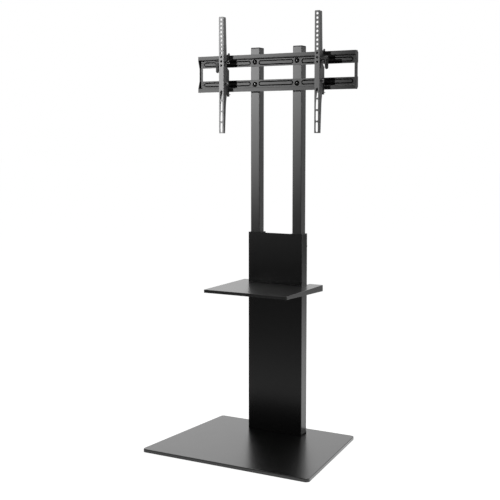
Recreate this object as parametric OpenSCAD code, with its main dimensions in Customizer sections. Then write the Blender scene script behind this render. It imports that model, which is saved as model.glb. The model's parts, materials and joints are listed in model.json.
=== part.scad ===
// Free-standing floor stand for a flat screen: pressed steel base, twin telescopic column,
// clamped shelf, and a pair of tilting arms that hook over two pressed rails.
// Millimetres. Origin on the floor under the middle of the base, X right, Y back, Z up.

/* [Base] */
// Width of the base along its front edge
base_front_w = 675; // [560:5:900]
// Width of the base along its back edge
base_back_w = 585; // [480:5:800]
// Depth of the base from front edge to back edge
base_d = 515; // [440:5:700]
// Height of the folded rim round the base
base_rim_h = 12; // [10:0.5:25]
// Sheet thickness of the base
base_t = 2; // [1:0.25:3]
// Radius of the base's corners seen from above
base_corner_r = 14; // [6:1:30]
// Bend radius along the base's top edge
base_bend_r = 2.5; // [0.5:0.5:5]
// Gap that the feet leave under the rim
foot_gap = 2.3; // [1:0.1:8]
// Diameter of a foot
foot_d = 30; // [16:1:50]
// Distance from the base's edge to the middle of a foot
foot_inset = 34; // [25:1:60]
// Width of a stiffening channel under the base
rib_w = 40; // [30:1:60]
// Sheet thickness of the stiffening channels
rib_t = 2; // [1:0.25:3]

/* [Column] */
// Height of the column above the base
column_h = 777; // [600:1:900]
// Distance from the base's back edge to the back of the column
column_back_gap = 54; // [40:1:120]
// Distance between the middles of the two tubes
tube_pitch = 178; // [130:1:220]
// Width of an outer tube across the stand
tube_w = 50; // [46:0.5:60]
// Depth of an outer tube
tube_d = 47.4; // [46:0.2:60]
// Wall of an outer tube
tube_t = 1.5; // [1:0.25:2.5]
// Outer corner radius of an outer tube
tube_r = 3; // [2.6:0.2:5]
// Thickness of the front panel
panel_t = 1.2; // [0.8:0.1:3]
// Thickness of the plate that the tubes stand on
foot_plate_t = 5; // [3:0.5:10]
// Height of a brace between the tubes
brace_h = 40; // [20:1:80]
// Thickness of a brace
brace_t = 3; // [2:0.5:5]
// Height of the collar's rim above a tube
collar_rim_h = 2.5; // [1.5:0.5:5]
// Length of the collar's skirt inside a tube
collar_skirt_l = 26; // [15:1:40]
// Distance from the top of the column down to the height screws
height_screw_drop = 52; // [48:1:90]

/* [Uprights] */
// Width and depth of an upright tube
upright_w = 38; // [32:0.5:40]
// Wall of an upright tube
upright_t = 1.5; // [1:0.25:2.5]
// Outer corner radius of an upright tube
upright_r = 3; // [2.6:0.2:5]
// Length of an upright tube
upright_l = 1020; // [900:10:1050]
// Height of the cap's rim above an upright
cap_rim_h = 4; // [2:0.5:8]
// Length of the cap's plug inside an upright
cap_plug_l = 14; // [8:1:30]
// Height of the glide below an upright
glide_h = 24; // [12:1:40]

/* [Mount] */
// Height of the middle of the rail frame above the floor
mount_z = 1399; // [1340:1:1450]
// Rise of the upright's cap above the middle of the rail frame
upright_rise = 97; // [85:1:140]
// Width of the rail frame
rail_l = 662; // [600:2:800]
// Height of the rail frame over both lips
mount_h = 139; // [130:1:180]
// Height of one rail, lip to inner edge
rail_h = 44.6; // [40:0.2:55]
// Depth of a rail, front of the lip to back of the web
rail_d = 20; // [17:0.5:30]
// Sheet thickness of the rails and end plates
rail_t = 2; // [1.5:0.25:3]
// Height of the lip along a rail's outer edge
lip_h = 15; // [13:0.5:18]
// Bend radius on the outside of the rail's folds
rail_bend_r = 3; // [2.5:0.25:4]
// Height of a coined oval over its groove
bead_h = 18; // [14:0.5:20]
// Depth of the groove
bead_depth = 1.2; // [0.3:0.1:1.4]
// Width of the groove
bead_edge = 4.2; // [1:0.2:6]

/* [Arms] */
// Distance between the middles of the two arms
arm_pitch = 400; // [300:5:560]
// Length of an arm
arm_l = 440; // [420:1:460]
// Rise of the arm's top end above the middle of the rail frame
arm_rise = 212; // [205:1:225]
// Width of an arm's face
arm_w = 22; // [20:0.5:30]
// Sheet thickness of the arms and hook brackets
arm_t = 2; // [1.5:0.25:2.5]
// Distance from the rail lip's front to the arm's face
arm_gap = 46.6; // [45:0.2:50]
// Diameter of the round screw holes
hole_d = 9; // [6:0.5:10]
// Spacing of the round screw holes
hole_pitch = 15.7; // [14:0.1:16]
// Number of round screw holes
hole_n = 12; // [8:1:12]
// Length of a screw slot
slot_l = 36; // [20:0.5:36]
// Spacing of the screw slots
slot_pitch = 41.1; // [38:0.1:41.5]
// Largest forward tilt in degrees
tilt_forward = 10; // [5:1:10]
// Largest backward tilt in degrees
tilt_back = 5; // [0:1:5]

/* [Shelf] */
// Width of the shelf
shelf_w = 343; // [290:1:500]
// Depth of the shelf
shelf_d = 315.5; // [250:0.5:400]
// Distance from the column's top down to the shelf's top
shelf_drop = 196.8; // [130:0.2:400]
// Distance that the shelf reaches behind the column
shelf_tail = 22.5; // [20:0.5:40]
// Sheet thickness of the shelf
shelf_t = 1.5; // [1:0.25:2.5]
// Depth of the shelf's front flange
shelf_front_h = 11.5; // [8:0.5:18]
// Depth of the shelf's rear flange
shelf_rear_h = 24; // [22:0.5:40]
// Radius of the shelf's corners seen from above
shelf_corner_r = 5; // [3:0.5:10]
// Bend radius along the shelf's top edge
shelf_bend_r = 2; // [0.5:0.25:2.5]

/* [Fasteners] */
// Diameter of the large bolts and clamp screws
bolt_d = 8; // [6:0.5:9]
// Width across the flats of their heads and nuts
bolt_af = 13; // [11:0.5:15]
// Diameter of the tilt guide bolts
guide_d = 6; // [5:0.5:7]
// Width across the flats of the guide bolt's head and nut
guide_af = 10; // [8:0.5:12]
// Diameter of the lock screws
lock_d = 5; // [4:0.5:6]
// Diameter of a clamp knob over its lobes
knob_d = 28; // [24:1:44]

/* [Hidden] */
// Overrun of every cut
over = 1;
// Gap between pieces that slide on each other
slide_gap = 0.3;
// Gap round an upright in its collar
collar_gap = 0.35;
// Radial play of a pin or screw that turns in its hole
run_gap = 0.06;
// Radial play of a fixed bolt in its hole
bolt_gap = 0.2;
// Facets of a full circle
$fn = 48;
// Facets of the circles inside a hull
hull_fn = 32;
// Steps of a bend's arc
bend_steps = 5;

// Base
base_top = foot_gap + base_rim_h;
base_slope = atan((base_front_w - base_back_w) / 2 / base_d);
base_corner_back = base_d / 2 - base_corner_r;
foot_taper = 2;
front_rib_share = 0.33;
mid_foot_share = 0.165;
function base_half_w(y) = (base_front_w + (base_back_w - base_front_w) * (y / base_d + 1 / 2)) / 2;

// Column
tube_x = tube_pitch / 2;
column_back = base_d / 2 - column_back_gap;
tube_y = column_back - tube_d / 2;
column_front = column_back - tube_d - panel_t;
column_half_w = tube_x + tube_w / 2;
column_top = base_top + column_h;
tube_z = base_top + foot_plate_t;
tube_top = column_top - collar_rim_h;
brace_low_share = 0.12;
brace_high_share = 0.86;
base_bolt_step = 10;
bolt_reach = 8;

// Fastener heads: height of a head and of a nut as shares of the thread's diameter
head_share = 0.66;
nut_share = 0.8;
low_head_share = 0.3;
height_screw_z = column_top - height_screw_drop;

// Clamp knobs
knob_hub_d = 18;
knob_hub_l = 4;
knob_head_l = 13;
knob_lobe_d = 9;
knob_lobes = 7;
knob_chamfer = 1.5;

// Uprights
upright_front = tube_y - upright_w / 2;
upright_top = mount_z + upright_rise - cap_rim_h;
upright_z = upright_top - upright_l;
glide_plug_l = 20;
glide_chamfer = 2;

// Rails
web_back = upright_front;
web_front = web_back - rail_t;
lip_front = web_back - rail_d;
rail_top = mount_z + mount_h / 2;
rail_low = rail_top - rail_h;
lip_low = rail_top - lip_h;
bead_z = (rail_low + lip_low) / 2 - rail_t / 4;
bolt_z = bead_z + rail_t * 1.5;
bead_end_share = 0.95;
bead_gap = 18;
end_flange_w = 11;
end_recess = 10;
end_tail = 4;
end_chamfer = 8;
dome_share = 0.38;
rail_dome_d = 17;

// Arms
arm_x = arm_pitch / 2;
arm_face = lip_front - arm_gap;
arm_top = mount_z + arm_rise;
arm_low = arm_top - arm_l;
arm_end_d = 18;
arm_mid_d = 24;
arm_toe_d = 10;
arm_ear_d = 41;
arm_side_end_d = 6;
arm_side_rail_d = 15;
arm_side_knee_d = 13;
arm_side_toe_d = 7;
arm_bend_r = 3;
arm_corner_r = 4;
hole_first = 10.5;
slot_last = 3.5;
slot_low = arm_low + slot_last + slot_l / 2;

// Tilt pivot and its guide
pivot_y = arm_face + arm_mid_d / 2;
pivot_rise = 41;
pivot_z = mount_z + pivot_rise;
guide_back = 10;
guide_drop = 80;
guide_y = pivot_y + guide_back;
guide_z = pivot_z - guide_drop;
guide_r = norm([guide_back, guide_drop]);
guide_angle = atan2(-guide_drop, guide_back);
washer_d = 13;
washer_t = 1.2;

// Hook bracket
bracket_w = arm_w - 2 * arm_t - 2 * slide_gap;
bracket_back = lip_front - slide_gap;
hook_rise = 8.5;
hook_wall = 3.6;
hook_drop = 10;
tail_drop = 12;
tab_t = 2.5;
tab_back = 9;
neck_back = 20;
neck_drop = 13;
lock_head_d = 10;
lock_head_l = 6;
lock_rise = 8;

// Tilt levers
lever_hub_d = 16;
lever_hub_rest = 8;
lever_len = 33;
lever_lean = 3;
lever_root_d = 16.5;
lever_tip_d = 12.5;
lever_out_left = 10;
lever_out_right = 19.5;

// Shelf
shelf_z = column_top - shelf_drop;
shelf_back = column_back + shelf_tail;
shelf_front = shelf_back - shelf_d;
notch_gap = 0.5;
notch_half_w = column_half_w + notch_gap;
notch_front = column_front - slide_gap;
strap_t = 3;
strap_front = column_back + 2 * slide_gap;
strap_z = shelf_z - shelf_rear_h / 2 - shelf_t / 2;
strap_h = shelf_rear_h - shelf_t - 2 * slide_gap;

// Points of an arc in the plane, from angle a to angle b
function arc(c, r, a, b, n = bend_steps) =
    [for (i = [0:n]) c + r * [cos(a + (b - a) * i / n), sin(a + (b - a) * i / n)]];

// A solid along X whose outline is drawn in Y and Z
module along_x(l) {
    rotate([90, 0, 90]) linear_extrude(l) children();
}

// A round bar along X, from the given point towards +X
module bar_x(at, d, l) {
    translate(at) rotate([0, 90, 0]) cylinder(h = l, d = d);
}

// A round bar along Y, from the given point towards the back
module bar_y(at, d, l) {
    translate(at) rotate([-90, 0, 0]) cylinder(h = l, d = d);
}

// A hexagonal bar standing on the XY plane, measured across its flats
module hex(af, l) {
    cylinder(h = l, d = af / cos(30), $fn = 6);
}

// A rectangle with round corners, centred
module round_rect(w, d, r) {
    square([w - 2 * r, d], center = true);
    square([w, d - 2 * r], center = true);
    for (sx = [-1, 1], sy = [-1, 1])
        translate([sx * (w / 2 - r), sy * (d / 2 - r)]) circle(r = r);
}

// A square tube standing on the XY plane
module square_tube(w, d, r, t, l) {
    difference() {
        linear_extrude(l) round_rect(w, d, r);
        translate([0, 0, -over]) linear_extrude(l + 2 * over) round_rect(w - 2 * t, d - 2 * t, r - t);
    }
}

// A disc whose upper edge is rounded
module button(r, h, bend) {
    rotate_extrude($fn = hull_fn)
        polygon(concat([[0, h], [0, 0], [r, 0]], arc([r - bend, h - bend], bend, 0, 90)));
}

// A star knob on its screw, along +Y from the screw's tip
module clamp_knob(screw_l) {
    bar_y([0, 0, 0], bolt_d, screw_l + knob_hub_l);
    bar_y([0, screw_l, 0], knob_hub_d, knob_hub_l + over);
    translate([0, screw_l + knob_hub_l, 0]) rotate([-90, 0, 0]) {
        linear_extrude(knob_head_l - knob_chamfer) {
            circle(d = knob_d - knob_lobe_d);
            for (i = [0:knob_lobes - 1])
                rotate(i * 360 / knob_lobes) translate([(knob_d - knob_lobe_d) / 2, 0]) circle(d = knob_lobe_d);
        }
        translate([0, 0, knob_head_l - knob_chamfer - over])
            cylinder(h = knob_chamfer + over, d1 = knob_hub_d + knob_chamfer, d2 = knob_hub_d);
    }
}

// Places of the feet, the channels and the base bolts
foot_places = [for (sx = [-1, 1], y = [foot_inset - base_d / 2, base_d * mid_foot_share, base_d / 2 - foot_inset])
    [sx * (base_half_w(y) - foot_inset), y]];
rib_places = [-base_d * front_rib_share, 0, tube_y];
base_bolt_places = [for (sx = [-1, 1], sy = [-1, 1]) [sx * tube_x, tube_y + sy * base_bolt_step]];

// The base's outline, drawn in by a margin, as a plate of the given height
module base_plate(margin, h, bend) {
    r = base_corner_r - margin;
    hull()
        for (sx = [-1, 1], y = [-base_corner_back, base_corner_back])
            translate([sx * (base_half_w(y) - base_corner_r / cos(base_slope)), y, 0]) button(r, h, bend);
}

module base_tray() {
    color("#3a3a3c")
    difference() {
        translate([0, 0, foot_gap]) base_plate(0, base_rim_h, base_bend_r);
        translate([0, 0, foot_gap - over]) base_plate(base_t, base_rim_h - base_t + over, base_t / 4);
        for (p = base_bolt_places)
            translate([p.x, p.y, foot_gap]) cylinder(h = base_rim_h + over, d = bolt_d + 2 * bolt_gap);
    }
}

// One channel under the base, open downwards
module rib(y) {
    half_l = base_half_w(y + rib_w / 2) - base_t / cos(base_slope) - over;
    h = base_rim_h - base_t;
    translate([-half_l, y - rib_w / 2, foot_gap]) difference() {
        cube([2 * half_l, rib_w, h]);
        translate([-over, rib_t, -over]) cube([2 * (half_l + over), rib_w - 2 * rib_t, h - rib_t + over]);
    }
}

module base_ribs() {
    color("#2e2e30")
    difference() {
        union() for (y = rib_places) rib(y);
        for (p = base_bolt_places)
            translate([p.x, p.y, 0]) cylinder(h = base_top, d = bolt_d + 2 * bolt_gap);
    }
}

module base_feet() {
    color("#1c1c1c")
    for (p = foot_places) translate([p.x, p.y, 0]) {
        cylinder(h = foot_gap, d1 = foot_d - 2 * foot_taper, d2 = foot_d);
        translate([0, 0, foot_gap]) cylinder(h = base_rim_h - base_t, d = foot_d);
    }
}

module foot_plate() {
    color("#2e2e30")
    difference() {
        translate([-column_half_w, tube_y - tube_d / 2, base_top])
            cube([2 * column_half_w, tube_d, foot_plate_t]);
        for (p = base_bolt_places)
            translate([p.x, p.y, base_top - over])
                cylinder(h = foot_plate_t + 2 * over, d = bolt_d + 2 * bolt_gap);
    }
}

module base_bolts() {
    head_l = bolt_d * head_share;
    head_z = base_top - base_t - rib_t - head_l;
    color("#6a6a6c")
    for (p = base_bolt_places) translate([p.x, p.y, head_z]) {
        hex(bolt_af, head_l);
        cylinder(h = tube_z - head_z + bolt_reach, d = bolt_d);
    }
}

module outer_tube(side) {
    difference() {
        translate([side * tube_x, tube_y, tube_z]) square_tube(tube_w, tube_d, tube_r, tube_t, tube_top - tube_z);
        bar_y([side * tube_x, tube_y, height_screw_z], bolt_d + 2 * bolt_gap, tube_d);
    }
}

module outer_tube_left() { color("#4a4a4c") outer_tube(-1); }

module outer_tube_right() { color("#4a4a4c") outer_tube(1); }

module front_panel() {
    color("#1e1e1f")
    translate([-column_half_w, column_front, base_top]) cube([2 * column_half_w, panel_t, column_h]);
}

module rear_braces() {
    inner_w = tube_pitch - tube_w;
    color("#2e2e30")
    for (share = [brace_low_share, brace_high_share])
        translate([-inner_w / 2, column_back - 2 * tube_r - brace_t, base_top + column_h * share - brace_h / 2])
            cube([inner_w, brace_t, brace_h]);
}

module collar(side) {
    bore = upright_w + 2 * collar_gap;
    translate([side * tube_x, tube_y, tube_top]) difference() {
        union() {
            linear_extrude(collar_rim_h) round_rect(tube_w, tube_d, tube_r);
            translate([0, 0, -collar_skirt_l])
                linear_extrude(collar_skirt_l) round_rect(tube_w - 2 * tube_t, tube_d - 2 * tube_t, tube_r - tube_t);
        }
        translate([0, 0, -collar_skirt_l - over])
            linear_extrude(collar_skirt_l + collar_rim_h + 2 * over)
                round_rect(bore, bore, upright_r + collar_gap);
    }
}

module collar_left() { color("#222223") collar(-1); }

module collar_right() { color("#222223") collar(1); }

// A pair of nuts behind a plate that faces the back
module clamp_nuts(y, z) {
    l = bolt_d * nut_share;
    for (sx = [-1, 1]) difference() {
        translate([sx * tube_x, y, z]) rotate([-90, 0, 0]) hex(bolt_af, l);
        bar_y([sx * tube_x, y - over, z], bolt_d + 2 * run_gap, l + 2 * over);
    }
}

module height_nuts() { color("#6a6a6c") clamp_nuts(column_back, height_screw_z); }

module height_knob(side) {
    tip_y = upright_front + upright_w + slide_gap;
    seat_y = column_back + bolt_d * nut_share + 2 * over;
    translate([side * tube_x, tip_y, height_screw_z]) clamp_knob(seat_y - tip_y);
}

module height_knob_left() { color("#1c1c1c") height_knob(-1); }

module height_knob_right() { color("#1c1c1c") height_knob(1); }

// Heights of the bolts that hold the rails to the uprights
rail_bolt_heights = [bolt_z, 2 * mount_z - bolt_z];

module upright(side) {
    difference() {
        translate([side * tube_x, tube_y, upright_z]) square_tube(upright_w, upright_w, upright_r, upright_t, upright_l);
        for (z = rail_bolt_heights)
            bar_y([side * tube_x, upright_front - over, z], bolt_d + 2 * bolt_gap, upright_w + 2 * over);
    }
}

module upright_left() { color("#5c5c5e") upright(-1); }

module upright_right() { color("#5c5c5e") upright(1); }

module upright_cap(side) {
    inner_w = upright_w - 2 * upright_t;
    chamfer = cap_rim_h / 4;
    translate([side * tube_x, tube_y, upright_top]) {
        linear_extrude(cap_rim_h - chamfer) round_rect(upright_w, upright_w, upright_r);
        translate([0, 0, cap_rim_h - chamfer])
            linear_extrude(chamfer) round_rect(upright_w - 2 * chamfer, upright_w - 2 * chamfer, upright_r - chamfer);
        translate([0, 0, -cap_plug_l])
            square_tube(inner_w, inner_w, upright_r - upright_t, upright_t / 2, cap_plug_l);
    }
}

module upright_cap_left() { color("#222223") upright_cap(-1); }

module upright_cap_right() { color("#222223") upright_cap(1); }

module glide(side) {
    w = tube_w - 2 * tube_t - 2 * slide_gap;
    d = tube_d - 2 * tube_t - 2 * slide_gap;
    inner_w = upright_w - 2 * upright_t;
    translate([side * tube_x, tube_y, upright_z - glide_h]) {
        linear_extrude(glide_chamfer) round_rect(w - 2 * glide_chamfer, d - 2 * glide_chamfer, upright_t);
        translate([0, 0, glide_chamfer]) linear_extrude(glide_h - glide_chamfer) round_rect(w, d, upright_t);
        translate([0, 0, glide_h]) linear_extrude(glide_plug_l) round_rect(inner_w, inner_w, upright_r - upright_t);
    }
}

module glide_left() { color("#222223") glide(-1); }

module glide_right() { color("#222223") glide(1); }

// Outline of the upper rail's fold, in Y and Z
rail_outline = concat(
    [[web_back, rail_low]],
    arc([web_back - rail_bend_r, lip_low + rail_t - rail_bend_r], rail_bend_r, 0, 90),
    [[lip_front + rail_t, lip_low + rail_t], [lip_front + rail_t, rail_top], [lip_front, rail_top]],
    arc([lip_front + rail_bend_r, lip_low + rail_bend_r], rail_bend_r, 180, 270),
    [[web_front, lip_low], [web_front, rail_low]]
);
// Ends of the ovals along X: the middle one and the outer pair
middle_bead = tube_x - rail_dome_d / 2 - bead_gap * 0.4;
outer_bead_in = tube_x + bead_gap;
outer_bead_out = rail_l / 2 * bead_end_share;

// A rounded bar along X, centred at the ovals' height, that reaches from the web's front into it
module oval(x0, x1, h) {
    foot = h / 2;
    l = bead_depth + over;
    for (x = [x0 + foot, x1 - foot]) bar_y([x, web_front - over, bead_z], h, l);
    translate([x0 + foot, web_front - over, bead_z - foot]) cube([x1 - x0 - h, l, h]);
}

// The groove round an oval
module groove(x0, x1) {
    difference() {
        oval(x0, x1, bead_h);
        translate([0, over / 2, 0]) oval(x0 + bead_edge, x1 - bead_edge, bead_h - 2 * bead_edge);
        translate([0, -over / 2, 0]) oval(x0 + bead_edge, x1 - bead_edge, bead_h - 2 * bead_edge);
    }
}

module grooves() {
    groove(-middle_bead, middle_bead);
    groove(outer_bead_in, outer_bead_out);
    groove(-outer_bead_out, -outer_bead_in);
}

module rail() {
    half_l = rail_l / 2 - rail_t;
    difference() {
        translate([-half_l, 0, 0]) along_x(2 * half_l) polygon(rail_outline);
        grooves();
        for (sx = [-1, 1])
            bar_y([sx * tube_x, web_front - over, bolt_z], bolt_d + 2 * bolt_gap, rail_t + 2 * over);
    }
}

// Turns a piece of the upper half over to the lower half of the rail frame
module lower_half() {
    translate([0, 0, 2 * mount_z]) mirror([0, 0, 1]) children();
}

module upper_rail() { color("#7d7d7f") rail(); }

module lower_rail() { color("#7d7d7f") lower_half() rail(); }

// Half of the end plate's outline, from the middle of the frame to the top, in Y and Z
end_half = [
    [web_back, mount_z], [web_back, rail_low - rail_t], [web_back + end_tail, rail_low + rail_t],
    [web_back + end_tail, rail_top - end_chamfer], [web_back - end_tail, rail_top],
    [lip_front, rail_top], [lip_front, lip_low], [lip_front + end_recess, rail_low], [lip_front + end_recess, mount_z]
];

module end_plate() {
    for (low = [false, true]) {
        half = low ? [for (p = end_half) [p.x, 2 * mount_z - p.y]] : end_half;
        translate([rail_l / 2 - rail_t, 0, 0]) along_x(rail_t) polygon(half);
    }
    translate([rail_l / 2 - end_flange_w, web_front - rail_t, 2 * mount_z - lip_low])
        cube([end_flange_w - rail_t / 2, rail_t, 2 * (lip_low - mount_z)]);
}

module end_plate_left() { color("#6c6c6e") mirror([1, 0, 0]) end_plate(); }

module end_plate_right() { color("#6c6c6e") end_plate(); }

// A low round head that bulges towards the front from the plane at y
module dome(at, d, h) {
    r = (d * d / 4 + h * h) / (2 * h);
    translate(at) intersection() {
        translate([0, r - h, 0]) sphere(r = r);
        bar_y([0, -h - over, 0], d, h + over);
    }
}

module rail_bolts() {
    color("#3a3a3c")
    for (sx = [-1, 1], z = rail_bolt_heights) {
        dome([sx * tube_x, web_front, z], rail_dome_d, bolt_d * dome_share);
        bar_y([sx * tube_x, web_front, z], bolt_d, rail_t + upright_w + bolt_d * nut_share + over);
    }
}

module rail_nuts() {
    l = bolt_d * nut_share;
    y = upright_front + upright_w;
    color("#6a6a6c")
    for (sx = [-1, 1], z = rail_bolt_heights) difference() {
        translate([sx * tube_x, y, z]) rotate([-90, 0, 0]) hex(bolt_af, l);
        bar_y([sx * tube_x, y - over, z], bolt_d + 2 * bolt_gap, l + 2 * over);
    }
}

// Outline of an arm's side flange, in Y and Z
arm_outline = concat([
    [arm_face, arm_top], [arm_face, arm_low]],
    arc([arm_face + arm_toe_d - arm_corner_r / 2, arm_low + arm_corner_r / 2], arm_corner_r / 2, -90, 0),
    [
    [arm_face + (arm_toe_d + arm_mid_d) / 2, arm_low + arm_l * 0.25],
    [arm_face + arm_mid_d - arm_t, 2 * mount_z - rail_top - arm_ear_d / 2],
    [arm_face + arm_mid_d, 2 * mount_z - rail_top],
    [arm_face + arm_mid_d + arm_t, 2 * mount_z - rail_top + arm_t],
    [arm_face + arm_mid_d + 2 * arm_t, 2 * mount_z - lip_low + 2 * rail_t],
    [arm_face + arm_ear_d, 2 * mount_z - rail_low],
    [arm_face + arm_ear_d, rail_low - arm_w / 2 - rail_t],
    [arm_face + arm_mid_d, rail_low],
    [arm_face + arm_mid_d - arm_t / 4, rail_top + arm_t]],
    arc([arm_face + arm_end_d - arm_corner_r, arm_top - arm_corner_r], arm_corner_r, 0, 90)
);

// What the left flange lacks above and below the rails, in Y and Z
side_reliefs = [
    [
        [arm_face + arm_side_end_d, arm_top + over], [arm_face + arm_side_rail_d, rail_top],
        [arm_face + arm_mid_d, pivot_z + bolt_d], [arm_face + arm_ear_d, pivot_z + bolt_d],
        [arm_face + arm_ear_d, arm_top + over]
    ],
    [
        [arm_face + arm_side_toe_d, arm_low - over], [arm_face + arm_side_knee_d, arm_low + arm_l * 0.25],
        [arm_face + arm_mid_d, 2 * mount_z - rail_top], [arm_face + arm_ear_d, 2 * mount_z - rail_top],
        [arm_face + arm_ear_d, arm_low - over]
    ]
];

// Outline of an arm's channel, looking down on it, front at y = 0
module channel_outline() {
    depth = arm_ear_d + over;
    difference() {
        union() {
            translate([-arm_w / 2, arm_bend_r]) square([arm_w, depth - arm_bend_r]);
            translate([arm_bend_r - arm_w / 2, 0]) square([arm_w - 2 * arm_bend_r, depth]);
            for (sx = [-1, 1]) translate([sx * (arm_w / 2 - arm_bend_r), arm_bend_r]) circle(r = arm_bend_r);
        }
        translate([arm_t - arm_w / 2, arm_t]) square([arm_w - 2 * arm_t, depth]);
    }
}

// The arc-shaped slot in both flanges that the guide bolt runs in
module guide_slot() {
    half_w = guide_d / 2 + slide_gap;
    low = guide_angle - tilt_forward;
    high = guide_angle + tilt_back;
    reach = 2 * guide_r;
    translate([arm_x - arm_w, pivot_y, pivot_z]) {
        intersection() {
            difference() {
                bar_x([0, 0, 0], 2 * (guide_r + half_w), 2 * arm_w);
                bar_x([-over, 0, 0], 2 * (guide_r - half_w), 2 * (arm_w + over));
            }
            along_x(2 * arm_w) polygon([[0, 0], reach * [cos(low), sin(low)], reach * [cos(high), sin(high)]]);
        }
        for (a = [low, high]) bar_x([0, guide_r * cos(a), guide_r * sin(a)], 2 * half_w, 2 * arm_w);
    }
}

// One upright screw slot through the arm's face, centred at z
module face_slot(z) {
    half = (slot_l - hole_d) / 2;
    for (s = [-1, 1]) bar_y([arm_x, arm_face - over, z + s * half], hole_d, arm_t + 2 * over);
    translate([arm_x - hole_d / 2, arm_face - over, z - half]) cube([hole_d, arm_t + 2 * over, 2 * half]);
}

// What a rounded upper corner of the arm's face lacks, from the corner's centre
module top_corner(sx) {
    difference() {
        translate([sx > 0 ? 0 : -arm_corner_r - over, -over, 0])
            cube([arm_corner_r + over, arm_mid_d + over, arm_corner_r + over]);
        bar_y([0, -2 * over, 0], 2 * arm_corner_r, arm_mid_d + 4 * over);
    }
}

module arm() {
    difference() {
        intersection() {
            translate([arm_x, arm_face, arm_low]) linear_extrude(arm_l) channel_outline();
            translate([arm_x - arm_w / 2 - over, 0, 0]) along_x(arm_w + 2 * over) polygon(arm_outline);
        }
        for (relief = side_reliefs)
            translate([arm_x - arm_w / 2 - over, 0, 0]) along_x(arm_w / 2 + over) polygon(relief);
        for (sx = [-1, 1]) translate([arm_x + sx * (arm_w / 2 - arm_corner_r), arm_face, arm_top - arm_corner_r])
            top_corner(sx);
        for (i = [0:hole_n - 1])
            bar_y([arm_x, arm_face - over, arm_top - hole_first - i * hole_pitch], hole_d, arm_t + 2 * over);
        for (i = [0:3]) face_slot(slot_low + i * slot_pitch);
        bar_x([arm_x - arm_w, pivot_y, pivot_z], bolt_d + 2 * bolt_gap, 2 * arm_w);
        guide_slot();
    }
}

module arm_left() { color("#828284") translate([-arm_pitch, 0, 0]) arm(); }

module arm_right() { color("#828284") arm(); }

// How far the arm's face swings back at height z when fully tilted, and the bracket's front edge there
function swept_face(z) = pivot_y - (arm_mid_d / 2 - arm_t) * cos(tilt_forward)
    + (pivot_z - z) * sin(tilt_forward) + 2 * slide_gap;
hook_top = rail_top + hook_rise;
tail_z = 2 * mount_z - rail_top - tail_drop;
lip_back = lip_front + rail_t;

// Outline of a hook bracket's side plate, in Y and Z
bracket_outline = [
    [pivot_y - (arm_mid_d / 2 - arm_t) + 4 * slide_gap, pivot_z + bolt_d],
    [swept_face(pivot_z - bolt_d), pivot_z - bolt_d],
    [swept_face(tail_z), tail_z],
    [bracket_back - tab_t, tail_z],
    [bracket_back, tail_z + tail_drop / 2],
    [bracket_back, rail_low - neck_drop],
    [bracket_back - neck_back, rail_low],
    [bracket_back - neck_back, pivot_z],
    [bracket_back, lip_low],
    [bracket_back, rail_top + slide_gap],
    [lip_back + slide_gap, rail_top + slide_gap],
    [lip_back + slide_gap, rail_top - hook_drop],
    [lip_back + slide_gap + hook_wall, rail_top - hook_drop],
    [lip_back + slide_gap + hook_wall, rail_top + hook_rise / 2],
    [lip_back + slide_gap + hook_wall / 2, hook_top],
    [bracket_back - hook_rise / 2, hook_top],
    [bracket_back - hook_rise, rail_top + hook_rise / 3],
    [pivot_y, rail_top]
];

module hook_bracket() {
    inner_w = bracket_w - 2 * arm_t;
    difference() {
        union() {
            for (x = [arm_x - bracket_w / 2, arm_x + bracket_w / 2 - arm_t])
                translate([x, 0, 0]) along_x(arm_t) polygon(bracket_outline);
            translate([arm_x - inner_w / 2 - over, bracket_back - arm_t, 2 * mount_z - rail_low])
                cube([inner_w + 2 * over, arm_t, 2 * (rail_low - mount_z) - neck_drop - arm_t]);
            translate([arm_x - inner_w / 2 - over, swept_face(tail_z) + 2 * over, tail_z + over])
                cube([inner_w + 2 * over, lip_back + tab_back - swept_face(tail_z) - 2 * over, tab_t]);
        }
        bar_x([arm_x - arm_w, pivot_y, pivot_z], bolt_d + 2 * run_gap, 2 * arm_w);
        bar_x([arm_x - arm_w, guide_y, guide_z], guide_d + 2 * bolt_gap, 2 * arm_w);
        translate([arm_x, lip_back + tab_back / 2, tail_z]) cylinder(h = tab_t + 2 * over, d = lock_d + 2 * run_gap);
    }
}

module hook_bracket_left() { color("#4a4a4c") mirror([1, 0, 0]) hook_bracket(); }

module hook_bracket_right() { color("#4a4a4c") hook_bracket(); }

module guide_bolt() {
    reach = arm_w / 2 + slide_gap;
    head_l = guide_d * head_share;
    stack = washer_t + head_l;
    bar_x([arm_x - reach - stack, guide_y, guide_z], guide_d, 2 * (reach + stack) + over);
    for (x = [arm_x - reach - washer_t, arm_x + reach]) bar_x([x, guide_y, guide_z], washer_d, washer_t);
    for (x = [arm_x - reach - stack, arm_x + reach + washer_t])
        translate([x, guide_y, guide_z]) rotate([0, 90, 0]) hex(guide_af, head_l);
}

module guide_bolt_left() { color("#8c8c8e") mirror([1, 0, 0]) guide_bolt(); }

module guide_bolt_right() { color("#8c8c8e") guide_bolt(); }

module lock_screw() {
    head_z = tail_z + over - slide_gap - lock_head_l;
    translate([arm_x, lip_back + tab_back / 2, head_z]) {
        cylinder(h = lock_head_l, d = lock_head_d);
        cylinder(h = lock_head_l + tab_t + slide_gap + tail_drop + lock_rise - over, d = lock_d);
    }
}

module lock_screw_left() { color("#2e2e30") mirror([1, 0, 0]) lock_screw(); }

module lock_screw_right() { color("#2e2e30") lock_screw(); }

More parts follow.
